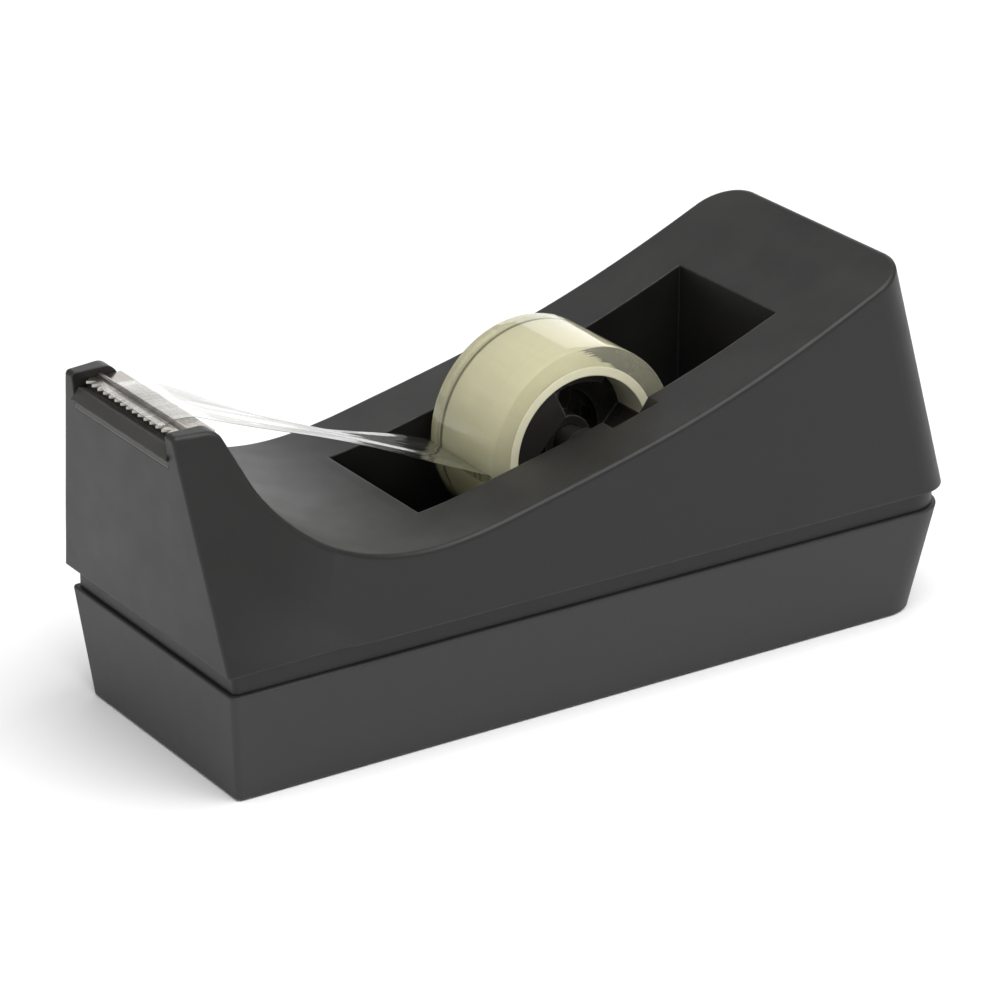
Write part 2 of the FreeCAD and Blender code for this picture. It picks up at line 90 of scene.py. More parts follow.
# stage: the point looked at, the point lit, and the three softboxes' places and sizes in metres
CAMERA_AIM = Vector((-0.0134, -0.0176, 0.0376))
LIGHT_AIM = Vector((0.0, 0.0, 0.03))
TOP_PLACE, TOP_SIZE = (0.05, -0.42, 1.05), 1.1
SIDE_PLACE, SIDE_SIZE = (-1.0, -0.1, 0.45), 0.7
BACK_PLACE, BACK_SIZE = (0.85, 1.05, 0.30), 0.9
FLOOR_HALF = 4.0
FLOOR_DEPTH = 0.02


# ---------------------------------------------------------------- settings

class ShellSettings(bpy.types.PropertyGroup):
    housing_colour: bpy.props.FloatVectorProperty(
        name="Housing colour", description="Colour of the moulded upper half",
        subtype="COLOR", size=3, min=0, max=1, default=(0.0090, 0.0086, 0.0083))
    tray_colour: bpy.props.FloatVectorProperty(
        name="Tray colour", description="Colour of the weighted lower half",
        subtype="COLOR", size=3, min=0, max=1, default=(0.0255, 0.0245, 0.0243))
    fascia_colour: bpy.props.FloatVectorProperty(
        name="Fascia colour", description="Colour of the insert that holds the blade",
        subtype="COLOR", size=3, min=0, max=1, default=(0.030, 0.029, 0.027))
    hub_colour: bpy.props.FloatVectorProperty(
        name="Hub colour", description="Colour of the spindle and the hub",
        subtype="COLOR", size=3, min=0, max=1, default=(0.022, 0.021, 0.019))
    grain_size: bpy.props.FloatProperty(
        name="Grain size", description="Width of one pit of the moulded texture",
        unit="LENGTH", min=0.00005, max=0.002, default=0.00022)
    # edge radius: how far the painted edge highlights and the edge wear reach onto the faces
    edge_radius: bpy.props.FloatProperty(
        name="Edge radius", description="How far the painted edge highlights and edge wear reach onto the faces",
        unit="LENGTH", min=0.0, max=0.002, default=0.00045)


class TapeSettings(bpy.types.PropertyGroup):
    core_colour: bpy.props.FloatVectorProperty(
        name="Core colour", description="Colour of the plastic core inside the roll",
        subtype="COLOR", size=3, min=0, max=1, default=(0.80, 0.765, 0.55))
    winding_colour: bpy.props.FloatVectorProperty(
        name="Winding colour", description="Tint of the wound tape",
        subtype="COLOR", size=3, min=0, max=1, default=(0.98, 0.965, 0.77))
    film_thickness: bpy.props.FloatProperty(
        name="Film thickness", description="Thickness of the free end of the tape",
        unit="LENGTH", min=0.00002, max=0.0003, default=0.00007)
    ripple: bpy.props.FloatProperty(
        name="Ripple", description="Height of the lengthwise ripples in the free end",
        unit="LENGTH", min=0.0, max=0.001, default=0.00012)
    near_rise: bpy.props.FloatProperty(
        name="Near rise", description="Rise of the free end's near edge, halfway along",
        unit="LENGTH", min=0.0, max=0.003, default=0.0008)
    far_fall: bpy.props.FloatProperty(
        name="Far fall", description="Fall of the free end's far edge, halfway along",
        unit="LENGTH", min=0.0, max=0.003, default=0.0022)


class StudioSettings(bpy.types.PropertyGroup):
    azimuth: bpy.props.FloatProperty(
        name="Azimuth", description="Camera direction round the dispenser",
        subtype="ANGLE", default=math.radians(-33.16))
    elevation: bpy.props.FloatProperty(
        name="Elevation", description="Camera height above the horizon",
        subtype="ANGLE", default=math.radians(22.97))
    distance: bpy.props.FloatProperty(
        name="Distance", description="From the camera to the point it looks at",
        unit="LENGTH", min=0.1, max=5.0, default=0.7329)
    lens: bpy.props.FloatProperty(
        name="Lens", description="Focal length of the camera in millimetres",
        subtype="DISTANCE_CAMERA", min=20, max=400, default=161.38)
    floor_colour: bpy.props.FloatVectorProperty(
        name="Floor colour", description="Colour of the floor",
        subtype="COLOR", size=3, min=0, max=1, default=(0.97, 0.97, 0.97))
    top_power: bpy.props.FloatProperty(
        name="Top light", description="Power of the softbox overhead, in watts",
        subtype="POWER", min=0, max=500, default=14.5)
    side_power: bpy.props.FloatProperty(
        name="Side light", description="Power of the softbox at the cutter end, in watts",
        subtype="POWER", min=0, max=500, default=1.5)
    back_power: bpy.props.FloatProperty(
        name="Back light", description="Power of the low panel behind the dispenser, in watts",
        subtype="POWER", min=0, max=500, default=3.2)
    sky: bpy.props.FloatProperty(
        name="Surround", description="Brightness of the white surround",
        min=0, max=5, default=0.42)


# ---------------------------------------------------------------- shader helpers

class Net:
    """Adds nodes to a shader tree and joins them."""

    def __init__(self, tree):
        self.tree = tree

    def add(self, kind, sockets=None, **settings):
        node = self.tree.nodes.new("ShaderNode" + kind)
        for name, value in settings.items():
            setattr(node, name, value)
        for name, value in (sockets or {}).items():
            if isinstance(value, bpy.types.NodeSocket):
                self.tree.links.new(value, node.inputs[name])
            else:
                node.inputs[name].default_value = value
        return node

    def maths(self, operation, *values):
        node = self.add("Math", dict(enumerate(values)), operation=operation)
        return node.outputs[0]

    def mix(self, factor, first, second):
        node = self.add("Mix", data_type="RGBA")
        for socket, value in zip((node.inputs[0], node.inputs[6], node.inputs[7]), (factor, first, second)):
            if isinstance(value, bpy.types.NodeSocket):
                self.tree.links.new(value, socket)
            else:
                socket.default_value = value
        return node.outputs[2]

    def ranged(self, value, low, high, new_low, new_high):
        node = self.add("MapRange", {"Value": value, "From Min": low, "From Max": high,
                                     "To Min": new_low, "To Max": new_high})
        return node.outputs[0]

    def noise(self, vector, scale, detail=2.0, roughness=0.5):
        node = self.add("TexNoise", {"Vector": vector, "Scale": scale, "Detail": detail,
                                     "Roughness": roughness})
        return node.outputs["Fac"]

    def group(self, name, sockets):
        node = self.add("Group", node_tree=bpy.data.node_groups[name])
        for label, value in sockets.items():
            if isinstance(value, bpy.types.NodeSocket):
                self.tree.links.new(value, node.inputs[label])
            else:
                node.inputs[label].default_value = value
        return node.outputs

    def place(self):
        return self.add("TexCoord").outputs["Object"]


def rgba(colour, share=1.0):
    return tuple(channel * share for channel in colour) + (1.0,)


def start_group(name, inputs, outputs):
    """An empty node group with named sockets: its net, its inputs and its output node."""
    tree = bpy.data.node_groups.new(name, "ShaderNodeTree")
    for label, value in inputs.items():
        kind = "NodeSocketColor" if isinstance(value, tuple) else "NodeSocketFloat"
        tree.interface.new_socket(name=label, in_out="INPUT", socket_type=kind).default_value = value
    for label, kind in outputs.items():
        tree.interface.new_socket(name=label, in_out="OUTPUT", socket_type="NodeSocket" + kind)
    entry = tree.nodes.new("NodeGroupInput")
    leave = tree.nodes.new("NodeGroupOutput")
    return Net(tree), entry.outputs, leave.inputs


def grain_group():
    """Pitted spark-eroded texture of a moulding, and the slow change of tone across it."""
    net, given, out = start_group(
        "Moulded Grain", {"Grain Size": 0.0002}, {"Height": "Float", "Tone": "Float"})
    place = net.place()
    scaled = net.add("VectorMath", {0: place}, operation="SCALE")
    net.tree.links.new(net.maths("DIVIDE", 1.0, given["Grain Size"]), scaled.inputs["Scale"])
    pits = net.add("TexVoronoi", {"Vector": scaled.outputs[0], "Scale": 0.8}, feature="SMOOTH_F1")
    fine = net.noise(scaled.outputs[0], 1.7, 3.0, 0.6)
    height = net.maths("MULTIPLY_ADD", pits.outputs["Distance"], 0.7, fine)
    broad = net.noise(place, 24.0, 3.0, 0.55)
    patchy = net.noise(place, 190.0, 2.0, 0.5)
    tone = net.maths("MULTIPLY_ADD", patchy, 0.35, net.maths("MULTIPLY", broad, 0.65))
    net.tree.links.new(height, out["Height"])
    net.tree.links.new(tone, out["Tone"])


def edge_group():
    """Where edges turn: a mask for their painted highlight and their handling wear, and a normal that rounds
    them off.
    """
    net, given, out = start_group("Edge Wear And Painted Highlight", {"Radius": 0.0003}, {"Mask": "Float", "Normal": "Vector"})
    soft = net.add("Bevel", {"Radius": given["Radius"]}, samples=6)
    flat = net.add("NewGeometry")
    facing = net.add("VectorMath", {0: soft.outputs[0], 1: flat.outputs["Normal"]}, operation="DOT_PRODUCT")
    turned = net.ranged(facing.outputs["Value"], 0.995, 0.80, 0.0, 1.0)
    broken = net.ranged(net.noise(net.place(), 420.0, 4.0, 0.65), 0.38, 0.66, 0.25, 1.0)
    net.tree.links.new(net.maths("MULTIPLY", turned, broken), out["Mask"])
    net.tree.links.new(soft.outputs[0], out["Normal"])


def dust_group():
    """Fine specks that settle on faces that look up."""
    net, given, out = start_group("Settled Dust", {"Amount": 0.3}, {"Mask": "Float"})
    normal = net.add("SeparateXYZ", {0: net.add("NewGeometry").outputs["Normal"]})
    upward = net.ranged(normal.outputs["Z"], 0.1, 0.95, 0.0, 1.0)
    specks = net.ranged(net.noise(net.place(), 2600.0, 2.0, 0.7), 0.62, 0.74, 0.0, 1.0)
    veil = net.ranged(net.noise(net.place(), 60.0, 3.0, 0.6), 0.35, 0.75, 0.0, 0.35)
    cover = net.maths("MAXIMUM", specks, veil)
    lying = net.maths("MULTIPLY", cover, upward)
    net.tree.links.new(net.maths("MULTIPLY", lying, given["Amount"]), out["Mask"])


def lines_group():
    """Long fine lines: brushing on steel, or flow lines in a film."""
    net, given, out = start_group(
        "Drawn Lines", {"Along": 20.0, "Across": 900.0, "Through": 20.0}, {"Tone": "Float"})
    stretch = net.add("CombineXYZ", {"X": given["Along"], "Y": given["Across"], "Z": given["Through"]})
    place = net.add("VectorMath", {0: net.place(), 1: stretch.outputs[0]}, operation="MULTIPLY")
    wide = net.noise(place.outputs[0], 1.0, 2.0, 0.5)
    thin = net.noise(place.outputs[0], 4.3, 2.0, 0.6)
    net.tree.links.new(net.maths("MULTIPLY_ADD", thin, 0.4, net.maths("MULTIPLY", wide, 0.6)), out["Tone"])


def start_material(name):
    """A new material's net and its Principled shader."""
    material = bpy.data.materials.new(name)
    material.use_nodes = True
    return material, Net(material.node_tree), material.node_tree.nodes["Principled BSDF"]


def feed(net, shader, **values):
    """Sets or joins sockets of a shader; words in a name are joined with underscores."""
    for name, value in values.items():
        socket = shader.inputs[name.replace("_", " ")]
        if isinstance(value, bpy.types.NodeSocket):
            net.tree.links.new(value, socket)
        else:
            socket.default_value = value


def moulded(name, colour, grain, radius, gloss, depth=0.25, dust=0.25, edge_highlight=6.0):
    """Moulded plastic: pitted grain, uneven tone, edges with a painted highlight and a little wear, and a
    little dust.
    """
    material, net, shader = start_material(name)
    skin = net.group("Moulded Grain", {"Grain Size": grain})
    edge = net.group("Edge Wear And Painted Highlight", {"Radius": radius})
    settled = net.group("Settled Dust", {"Amount": dust})
    tone = net.ranged(skin["Tone"], LOW, HIGH, 0.0, 1.0)
    base = net.mix(tone, rgba(colour, 0.86), rgba(colour, 1.16))
    # painted highlight: the edge mask lightens the colour along the edges
    base = net.mix(net.maths("MULTIPLY", edge["Mask"], 0.5), base, rgba(colour, edge_highlight))
    base = net.mix(settled["Mask"], base, DUST_COLOUR)
    rough = net.ranged(skin["Tone"], LOW, HIGH, gloss - 0.05, gloss + 0.06)
    rough = net.maths("SUBTRACT", rough, net.maths("MULTIPLY", edge["Mask"], 0.10))
    rough = net.maths("MULTIPLY_ADD", settled["Mask"], 0.25, rough)
    bump = net.add("Bump", {"Strength": depth, "Distance": grain * 0.25, "Height": skin["Height"],
                            "Normal": edge["Normal"]})
    feed(net, shader, Base_Color=base, Roughness=rough, Normal=bump.outputs[0])
    shader.inputs["Specular IOR Level"].default_value = PLASTIC_SPECULAR
    return material


def steel(name, colour, lines_each_way, roughness, radius, stain=0.0):
    """Metal with drawn lines, edges lightened as a painted highlight, and a few dull patches."""
    material, net, shader = start_material(name)
    lines = net.group("Drawn Lines", dict(zip(("Along", "Across", "Through"), lines_each_way)))
    edge = net.group("Edge Wear And Painted Highlight", {"Radius": radius})
    tone = net.ranged(lines["Tone"], LOW, HIGH, 0.0, 1.0)
    base = net.mix(tone, rgba(colour, 0.82), rgba(colour, 1.08))
    patches = net.ranged(net.noise(net.place(), 320.0, 4.0, 0.6), 0.52, 0.72, 0.0, stain)
    base = net.mix(patches, base, rgba(colour, 0.45))
    # painted highlight: the edge mask lightens the metal along the edges
    base = net.mix(net.maths("MULTIPLY", edge["Mask"], 0.6), base, rgba(colour, 1.25))
    rough = net.maths("ADD", net.ranged(lines["Tone"], LOW, HIGH, *roughness), patches)
    bump = net.add("Bump", {"Strength": 0.15, "Distance": 0.00003, "Height": lines["Tone"],
                            "Normal": edge["Normal"]})
    feed(net, shader, Base_Color=base, Roughness=rough, Metallic=1.0, Normal=bump.outputs[0])
    return material


def foam_material():
    """Dark closed-cell foam."""
    material, net, shader = start_material("Foam_Cells")
    cells = net.add("TexVoronoi", {"Vector": net.place(), "Scale": 2600.0})
    tone = net.noise(net.place(), 150.0, 3.0, 0.6)
    base = net.mix(cells.outputs["Distance"], (0.010, 0.010, 0.010, 1.0), (0.045, 0.044, 0.042, 1.0))
    base = net.mix(net.ranged(tone, 0.4, 0.7, 0.0, 0.4), base, (0.06, 0.058, 0.055, 1.0))
    bump = net.add("Bump", {"Strength": 0.8, "Distance": 0.0001, "Height": cells.outputs["Distance"]})
    feed(net, shader, Base_Color=base, Roughness=0.92, Normal=bump.outputs[0])
    return material


def core_material(colour):
    """Cream plastic core, faintly ribbed along its length."""
    material, net, shader = start_material("Core_Cream")
    lines = net.group("Drawn Lines", {"Along": 500.0, "Across": 30.0, "Through": 500.0})
    edge = net.group("Edge Wear And Painted Highlight", {"Radius": 0.0003})
    tone = net.ranged(lines["Tone"], LOW, HIGH, 0.0, 1.0)
    base = net.mix(tone, rgba(colour, 0.94), rgba(colour, 1.04))
    # painted highlight: the edge mask lightens the cream along the edges
    base = net.mix(net.maths("MULTIPLY", edge["Mask"], 0.4), base, (0.93, 0.915, 0.74, 1.0))
    bump = net.add("Bump", {"Strength": 0.15, "Distance": 0.00005, "Height": lines["Tone"],
                            "Normal": edge["Normal"]})
    feed(net, shader, Base_Color=base, Roughness=net.ranged(lines["Tone"], LOW, HIGH, 0.34, 0.46),
         Normal=bump.outputs[0])
    return material


def winding_material(colour):
    """Wound clear tape: fine rings, a painted shadow line near the far end where the roll's edge shows
    through the clear outer wraps, and a darker streaked band beyond it.
    """
    material, net, shader = start_material("Wound_Tape")
    place = net.place()
    flat = net.add("VectorMath", {0: place, 1: (1.0, 0.0, 1.0)}, operation="MULTIPLY")
    radius = net.add("VectorMath", {0: flat.outputs[0]}, operation="LENGTH").outputs["Value"]
    rings = net.add("TexNoise", {"W": net.maths("MULTIPLY", radius, 3600.0), "Scale": 1.0, "Detail": 2.0},
                    noise_dimensions="1D").outputs["Fac"]
    bands = net.group("Drawn Lines", {"Along": 12.0, "Across": 620.0, "Through": 12.0})
    mixed = net.maths("MULTIPLY_ADD", rings, 0.4, net.maths("MULTIPLY", bands["Tone"], 0.6))
    tone = net.ranged(mixed, STREAK_LOW, STREAK_HIGH, 0.0, 1.0)
    base = net.mix(tone, rgba(colour, 0.93), rgba(colour, 1.02))
    across = net.add("SeparateXYZ", {0: place}).outputs["Y"]
    from_end = net.maths("SUBTRACT", TAPE_HALF, across)
    # beyond the shadow line the tape is darker and streaked
    streaked = net.mix(tone, rgba(colour, 0.55), rgba(colour, 0.95))
    base = net.mix(net.ranged(from_end, SHADOW_LINE_FROM_END - 0.5 * MM, SHADOW_LINE_FROM_END, 1.0, 0.0), base, streaked)
    # painted shadow: a dark line across the roll, where its edge shows through the clear outer wraps
    off_line = net.maths("ABSOLUTE", net.maths("SUBTRACT", from_end, SHADOW_LINE_FROM_END))
    line = net.ranged(off_line, 0.2 * MM, 0.5 * MM, 0.9, 0.0)
    base = net.mix(line, base, (0.03, 0.03, 0.025, 1.0))
    rough = net.ranged(mixed, STREAK_LOW, STREAK_HIGH, 0.03, 0.10)
    bump = net.add("Bump", {"Strength": 0.10, "Distance": 0.00003, "Height": mixed})
    feed(net, shader, Base_Color=base, Roughness=rough, IOR=1.45, Transmission_Weight=0.80,
         Normal=bump.outputs[0])
    return material


def film_material():
    """One layer of clear film with lengthwise flow lines and grey streaks."""
    material, net, shader = start_material("Clear_Film")
    lines = net.group("Drawn Lines", {"Along": 22.0, "Across": 1000.0, "Through": 22.0})
    wide = net.group("Drawn Lines", {"Along": 14.0, "Across": 330.0, "Through": 14.0})
    mixed = net.maths("MULTIPLY_ADD", lines["Tone"], 0.45, net.maths("MULTIPLY", wide["Tone"], 0.55))
    tone = net.ranged(mixed, 0.40, 0.60, 0.0, 1.0)
    base = net.mix(tone, (0.58, 0.575, 0.55, 1.0), (0.97, 0.97, 0.95, 1.0))
    rough = net.ranged(mixed, STREAK_LOW, STREAK_HIGH, 0.02, 0.09)
    bump = net.add("Bump", {"Strength": 0.25, "Distance": 0.00005, "Height": mixed})
    feed(net, shader, Base_Color=base, Roughness=rough, IOR=1.42, Transmission_Weight=0.985,
         Normal=bump.outputs[0])
    return material


def floor_material(colour):
    """Matt paper floor with a trace of fibre."""
    material, net, shader = start_material("Paper_Floor")
    fibre = net.noise(net.place(), 700.0, 4.0, 0.6)
    base = net.mix(net.ranged(fibre, LOW, HIGH, 0.0, 1.0), rgba(colour, 0.995), rgba(colour, 1.0))
    feed(net, shader, Base_Color=base, Roughness=0.9)
    shader.inputs["Specular IOR Level"].default_value = PAPER_SPECULAR
    return material


# ---------------------------------------------------------------- mesh helpers

def loft(name, rings, closed=False):
    """A mesh through rings of equal length, joined end to end or capped at both ends."""
    points = [point for ring in rings for point in ring]
    size = len(rings[0])
    count = len(rings)
    faces = []
    for i in range(count if closed else count - 1):
        start = i * size
        after = (i + 1) % count * size
        for j in range(size):
            k = (j + 1) % size
            faces.append((start + j, start + k, after + k, after + j))
    if not closed:
        faces.append(tuple(range(size))[::-1])
        faces.append(tuple((count - 1) * size + j for j in range(size)))
    mesh = bpy.data.meshes.new(name)
    mesh.from_pydata(points, [], faces)
    mesh.update()
    piece = bpy.data.objects.new(name, mesh)
    bpy.context.scene.collection.objects.link(piece)
    return piece


def smoothed(piece, angle=35.0):
    piece.data.shade_smooth()
    piece.data.set_sharp_from_angle(angle=math.radians(angle))
    return piece


def outward(piece):
    """Turns every face of a closed mesh outwards."""
    work = bmesh.new()
    work.from_mesh(piece.data)
    bmesh.ops.recalc_face_normals(work, faces=work.faces)
    work.to_mesh(piece.data)
    work.free()
    return piece


def eased(points, rounds):
    """Cuts the corners of an open line of points, keeping its ends."""
    for _ in range(rounds):
        cut = [points[0]]
        for a, b in zip(points, points[1:]):
            cut.append(a.lerp(b, 0.25))
            cut.append(a.lerp(b, 0.75))
        cut.append(points[-1])
        points = cut
    return points


def even_steps(points, step):
    """The same line with points no further apart than a step."""
    line = [points[0]]
    for a, b in zip(points, points[1:]):
        parts = max(1, math.ceil((b - a).length / step))
        line += [a.lerp(b, (i + 1) / parts) for i in range(parts)]
    return line


def finish_cad(name, material):
    """Gives a CAD node its material."""
    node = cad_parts[name]
    if not node.material_slots:
        node.data.materials.append(material)
    for place in node.material_slots:
        place.material = material


def settle(piece, body, material, node):
    """Places a finished piece on its body in the stead of a CAD node."""
    piece.data.materials.append(material)
    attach(piece, body)
    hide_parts(node)


# ---------------------------------------------------------------- operators

class DISPENSER_OT_shell(bpy.types.Operator):
    """Finish the housing, the tray and the insert between the cheeks"""
    bl_idname = "dispenser.shell"
    bl_label = "Shell"

    def execute(self, context):
        chosen = context.scene.dispenser_shell
        grain = chosen.grain_size
        radius = chosen.edge_radius
        # each plastic's edge factor scales its painted edge highlight
        housing = moulded("Housing_Black", chosen.housing_colour, grain, radius, gloss=0.45, edge_highlight=9.0)
        tray = moulded("Tray_Black", chosen.tray_colour, grain * 1.2, radius,
                       gloss=0.52, depth=0.35, edge_highlight=8.0)
        insert = moulded("Insert_Grey", chosen.fascia_colour, grain * 0.8, radius, gloss=0.38, depth=0.15)
        finish_cad("upper_housing", housing)
        finish_cad("base_tray", tray)
        finish_cad("blade_holder", insert)
        return {"FINISHED"}


class DISPENSER_OT_cutter(bpy.types.Operator):
    """Finish the serrated blade"""
    bl_idname = "dispenser.cutter"
    bl_label = "Cutter"

    def execute(self, context):
        blade = steel("Blade_Steel", (0.46, 0.435, 0.40), (1500.0, 35.0, 1500.0), (0.20, 0.38), 0.0001)
        finish_cad("cutter_blade", blade)
        return {"FINISHED"}


class DISPENSER_OT_underside(bpy.types.Operator):
    """Finish the ballast and the screws, and lay the foam sheet under the tray"""
    bl_idname = "dispenser.underside"
    bl_label = "Underside"

    def execute(self, context):
        iron = steel("Ballast_Iron", (0.20, 0.19, 0.18), (140.0, 140.0, 140.0), (0.55, 0.75), 0.0004,
                     stain=0.3)
        zinc = steel("Screw_Zinc", (0.70, 0.71, 0.72), (200.0, 200.0, 200.0), (0.25, 0.4), 0.0001)
        finish_cad("ballast", iron)
        finish_cad("housing_screws", zinc)
        settle(self.sheet(), "housing", foam_material(), "foam_pad")
        return {"FINISHED"}

    def sheet(self):
        """A thin slab with rounded rims and the plan of the recess it is glued into."""
        low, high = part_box("foam_pad")
        rims = ((0.55, 0.0), (0.25, 0.06), (0.06, 0.22), (0.0, 0.45), (0.0, 0.8), (0.1, 1.05), (0.35, 1.2))
        height = (high.z - low.z) / (1.2 * MM)
        rings = [self.plan(low, high, inset * MM, low.z + rise * MM * height) for inset, rise in rims]
        piece = outward(loft("foam_sheet", rings))
        return smoothed(piece, 50.0) or piece

    @staticmethod
    def plan(low, high, inset, z):
        """The plan outline at one inset: small front corners and wide rear ones."""
        steps = 8
        front, rear = 1.0 * MM, 4.5 * MM
        corners = ((low.x, low.y, front, 180), (high.x, low.y, rear, 270),
                   (high.x, high.y, rear, 0), (low.x, high.y, front, 90))
        ring = []
        for x, y, radius, turn in corners:
            centre_x = x + math.copysign(radius, AXIS.x - x)
            centre_y = y + math.copysign(radius, -y)
            for i in range(steps + 1):
                angle = math.radians(turn + 90 * i / steps)
                reach = radius - inset
                along, across = reach * math.cos(angle), reach * math.sin(angle)
                ring.append(Vector((centre_x + along, centre_y + across, z)))
        return ring


class DISPENSER_OT_reel(bpy.types.Operator):
    """Finish the spindle, the two halves of the hub and the core"""
    bl_idname = "dispenser.reel"
    bl_label = "Reel"

    def execute(self, context):
        chosen = context.scene.dispenser_shell
        tape = context.scene.dispenser_tape
        # the hub's edge factor gives its edges a strong painted highlight
        hub = moulded("Hub_Black", chosen.hub_colour, chosen.grain_size * 0.7, chosen.edge_radius * 1.2,
                      gloss=0.26, depth=0.12, dust=0.1, edge_highlight=12.0)
        for name in ("spindle", "hub_near_half", "hub_far_half"):
            finish_cad(name, hub)
        finish_cad("tape_core", core_material(tape.core_colour))
        return {"FINISHED"}


class DISPENSER_OT_roll(bpy.types.Operator):
    """Wind the roll of tape on its core"""
    bl_idname = "dispenser.roll"
    bl_label = "Roll"

    def execute(self, context):
        tape = context.scene.dispenser_tape
        piece = self.windings()
        settle(piece, "reel", winding_material(tape.winding_colour), "tape_roll")
        return {"FINISHED"}

    @staticmethod
    def windings():
        """The wound ring, its ends stepped where layers stand a little proud of each other."""
        chance = random.Random(11)
        inner = CORE_RADIUS - 0.1 * MM
        outer = ROLL_RADIUS
        near, far = [], []
        for i in range(LAYERS + 1):
            radius = inner + (outer - RIM_START - inner) * i / LAYERS
            near.append((radius, -TAPE_HALF + chance.uniform(0.0, LAYER_STEP)))
            far.append((radius, TAPE_HALF - chance.uniform(0.0, LAYER_STEP)))
        flat = TAPE_HALF - RIM_CUT
        rim = [(outer - RIM_EASE[0], -TAPE_HALF + RIM_EASE[1]), (outer, -flat)]
        across = [(outer, -flat + 2 * flat * i / 12) for i in range(1, 12)]
        back = [(radius, -y) for radius, y in reversed(rim)]
        profile = near + rim + across + back + far[::-1]
        rings = []
        for i in range(ROLL_TURNS):
            cosine, sine = math.cos(math.tau * i / ROLL_TURNS), math.sin(math.tau * i / ROLL_TURNS)
            rings.append([Vector((radius * cosine, y, radius * sine)) for radius, y in profile])
        piece = smoothed(outward(loft("tape_windings", rings, closed=True)), 40.0)
        piece.location = AXIS
        return piece


class DISPENSER_OT_strip(bpy.types.Operator):
    """Lead the free end of the tape from the roll over the blade"""
    bl_idname = "dispenser.strip"
    bl_label = "Free end"

    def execute(self, context):
        tape = context.scene.dispenser_tape
        piece = self.film(tape)
        settle(piece, "spindle", film_material(), "tape_strip")
        return {"FINISHED"}

    @staticmethod
    def route():
        """The line of the film in side view, from the blade's teeth down to the roll."""
        blade_low, blade_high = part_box("cutter_blade")
        holder_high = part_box("blade_holder")[1]
        strip_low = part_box("tape_strip")[0]
        flat = blade_high.z - BEAD_RISE
        bead_x = blade_low.x + BEAD_PLACE
        clear = STRIP_CLEAR
        reach = ROLL_RADIUS + PEEL_CLEAR
        dip, end = PEEL_ANGLE, END_ANGLE
        return [Vector((x, 0, z)) for x, z in (
            (strip_low.x, flat + clear),
            (bead_x - 1.1 * MM, flat + clear),
            (bead_x - 0.5 * MM, blade_high.z + clear),
            (bead_x + 0.6 * MM, blade_high.z + clear),
            (holder_high.x - 0.6 * MM, flat + 3.2 * clear),
            (holder_high.x + 0.1 * MM, flat + 1.6 * clear),
            (AXIS.x - (reach + 0.6 * MM) * math.cos(dip), AXIS.z - reach * math.sin(dip) + 0.8 * MM),
            (AXIS.x - reach * math.cos(dip), AXIS.z - reach * math.sin(dip)),
            (AXIS.x - reach * math.cos(end), AXIS.z - reach * math.sin(end)))]

    def film(self, tape):
        """A thin closed sheet, twisted and rippled between the blade and the roll."""
        line = even_steps(eased(self.route(), 3), STRIP_STEP)
        lengths = [0.0]
        for a, b in zip(line, line[1:]):
            lengths.append(lengths[-1] + (b - a).length)
        rings = []
        for i, point in enumerate(line):
            before, after = line[max(i - 1, 0)], line[min(i + 1, len(line) - 1)]
            run = (after - before).normalized()
            up = Vector((-run.z, 0, run.x))
            if up.z < 0:
                up = -up
            # flat on the blade and on the roll, rippled in between, and turned most halfway along
            share = lengths[i] / lengths[-1]
            free = max(0.0, min(1.0, (share - 0.16) / 0.12)) * max(0.0, min(1.0, (0.97 - share) / 0.15))
            turned = math.sin(math.pi * max(0.0, min(1.0, (share - 0.14) / 0.84))) ** 2
            top, under = [], []
            for j in range(STRIP_COLUMNS + 1):
                y = TAPE_HALF * (2 * j / STRIP_COLUMNS - 1)
                k = y / TAPE_HALF
                wave = (0.6 * math.sin(4.7 * k + 2.2 * share + 0.4) + 0.35 * math.sin(10.3 * k - 3.1 * share)
                        + 0.2 * math.sin(19.0 * k + 1.3) - 0.9 * k * k)
                twist = tape.near_rise if k < 0 else tape.far_fall
                lift = up * (tape.ripple * free * wave - twist * k * turned)
                top.append(point + Vector((0, y, 0)) + lift + up * tape.film_thickness)
                under.append(point + Vector((0, y, 0)) + lift)
            rings.append(top + under[::-1])
        return smoothed(outward(loft("film_strip", rings)), 45.0)


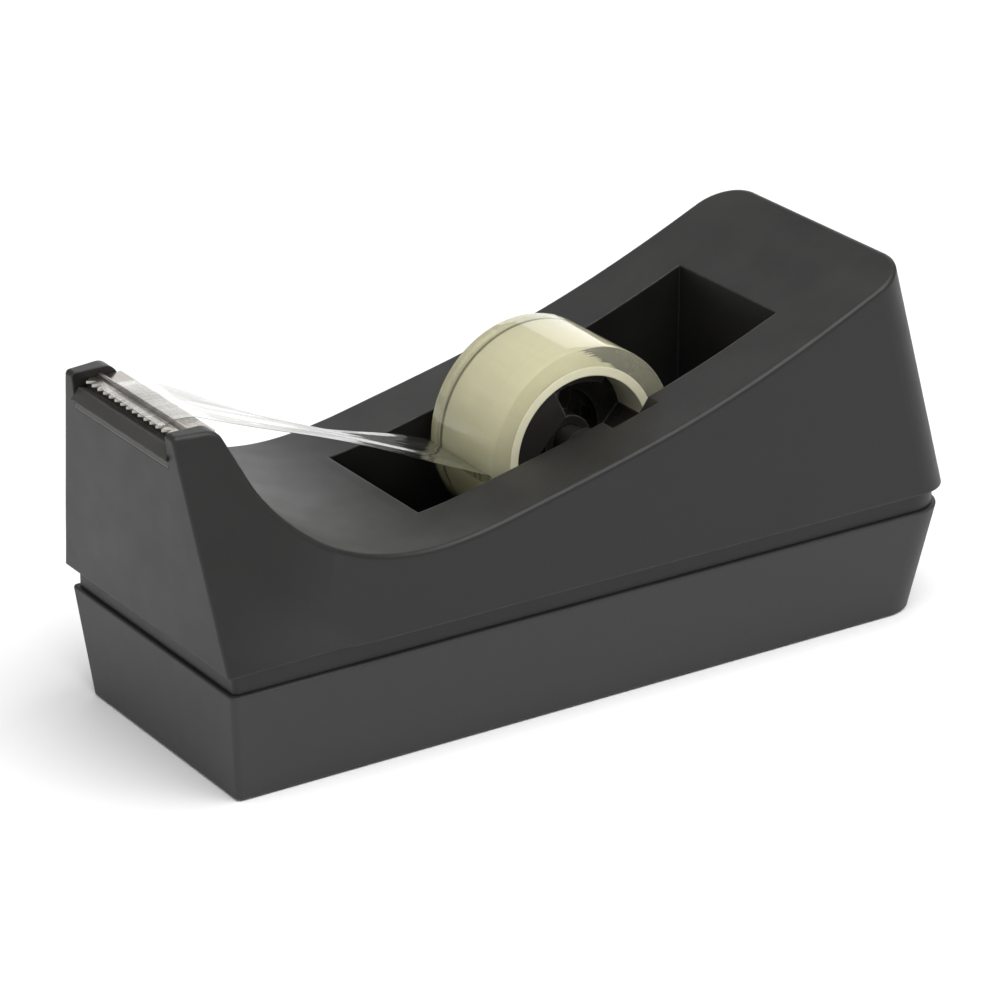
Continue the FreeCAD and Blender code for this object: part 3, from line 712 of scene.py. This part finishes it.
class DISPENSER_OT_stage(bpy.types.Operator):
    """Set up the floor, the soft lights and the camera"""
    bl_idname = "dispenser.stage"
    bl_label = "Stage"

    def execute(self, context):
        studio = context.scene.dispenser_studio
        self.floor(studio.floor_colour)
        self.lights(studio)
        self.surround(context.scene, studio.sky)
        self.camera(context.scene, studio)
        return {"FINISHED"}

    @staticmethod
    def floor(colour):
        half = FLOOR_HALF
        corners = ((-half, -half), (half, -half), (half, half), (-half, half))
        ground = loft("floor", [[Vector((x, y, z)) for x, y in corners] for z in (-FLOOR_DEPTH, 0.0)])
        ground.data.materials.append(floor_material(colour))

    @staticmethod
    def lights(studio):
        boxes = (("top_softbox", TOP_PLACE, TOP_SIZE, studio.top_power),
                 ("side_softbox", SIDE_PLACE, SIDE_SIZE, studio.side_power),
                 ("back_softbox", BACK_PLACE, BACK_SIZE, studio.back_power))
        for name, spot, size, power in boxes:
            lamp = bpy.data.lights.new(name, "AREA")
            lamp.shape = "SQUARE"
            lamp.size = size
            lamp.energy = power
            holder = bpy.data.objects.new(name, lamp)
            holder.location = spot
            holder.rotation_euler = (LIGHT_AIM - Vector(spot)).to_track_quat("-Z", "Y").to_euler()
            bpy.context.scene.collection.objects.link(holder)

    @staticmethod
    def surround(scene, strength):
        world = scene.world or bpy.data.worlds.new("Surround")
        scene.world = world
        world.use_nodes = True
        back = world.node_tree.nodes["Background"]
        back.inputs["Color"].default_value = (1.0, 1.0, 1.0, 1.0)
        back.inputs["Strength"].default_value = strength
        scene.view_settings.view_transform = "Standard"

    @staticmethod
    def camera(scene, studio):
        turn, rise = studio.azimuth, studio.elevation
        flat = math.cos(rise)
        back = Vector((math.sin(turn) * flat, -math.cos(turn) * flat, math.sin(rise)))
        lens = bpy.data.cameras.new("camera")
        lens.lens = studio.lens
        lens.clip_start = 0.01
        viewer = bpy.data.objects.new("camera", lens)
        viewer.location = CAMERA_AIM + back * studio.distance
        viewer.rotation_euler = (-back).to_track_quat("-Z", "Y").to_euler()
        scene.collection.objects.link(viewer)
        scene.camera = viewer


OPERATORS = (DISPENSER_OT_shell, DISPENSER_OT_cutter, DISPENSER_OT_underside, DISPENSER_OT_reel,
             DISPENSER_OT_roll, DISPENSER_OT_strip, DISPENSER_OT_stage)
SETTINGS = {
    "dispenser_shell": ShellSettings,
    "dispenser_tape": TapeSettings,
    "dispenser_studio": StudioSettings,
}


class DISPENSER_PT_build(bpy.types.Panel):
    """Lists the dispenser's pieces and their settings"""
    bl_idname = "DISPENSER_PT_build"
    bl_label = "Tape dispenser"
    bl_space_type = "VIEW_3D"
    bl_region_type = "UI"
    bl_category = "Dispenser"

    def draw(self, context):
        for operator in OPERATORS:
            self.layout.operator(operator.bl_idname)
        for name, kind in SETTINGS.items():
            for label in kind.__annotations__:
                self.layout.prop(getattr(context.scene, name), label)


def register():
    for kind in (*SETTINGS.values(), *OPERATORS, DISPENSER_PT_build):
        bpy.utils.register_class(kind)
    for name, kind in SETTINGS.items():
        setattr(bpy.types.Scene, name, bpy.props.PointerProperty(type=kind))


def unregister():
    for name in SETTINGS:
        delattr(bpy.types.Scene, name)
    for kind in (DISPENSER_PT_build, *reversed(OPERATORS), *SETTINGS.values()):
        bpy.utils.unregister_class(kind)


def main():
    register()
    for build in (grain_group, edge_group, dust_group, lines_group):
        build()
    for step in (bpy.ops.dispenser.shell, bpy.ops.dispenser.cutter, bpy.ops.dispenser.underside,
                 bpy.ops.dispenser.reel, bpy.ops.dispenser.roll, bpy.ops.dispenser.strip,
                 bpy.ops.dispenser.stage):
        step()


if __name__ == "__main__":
    main()
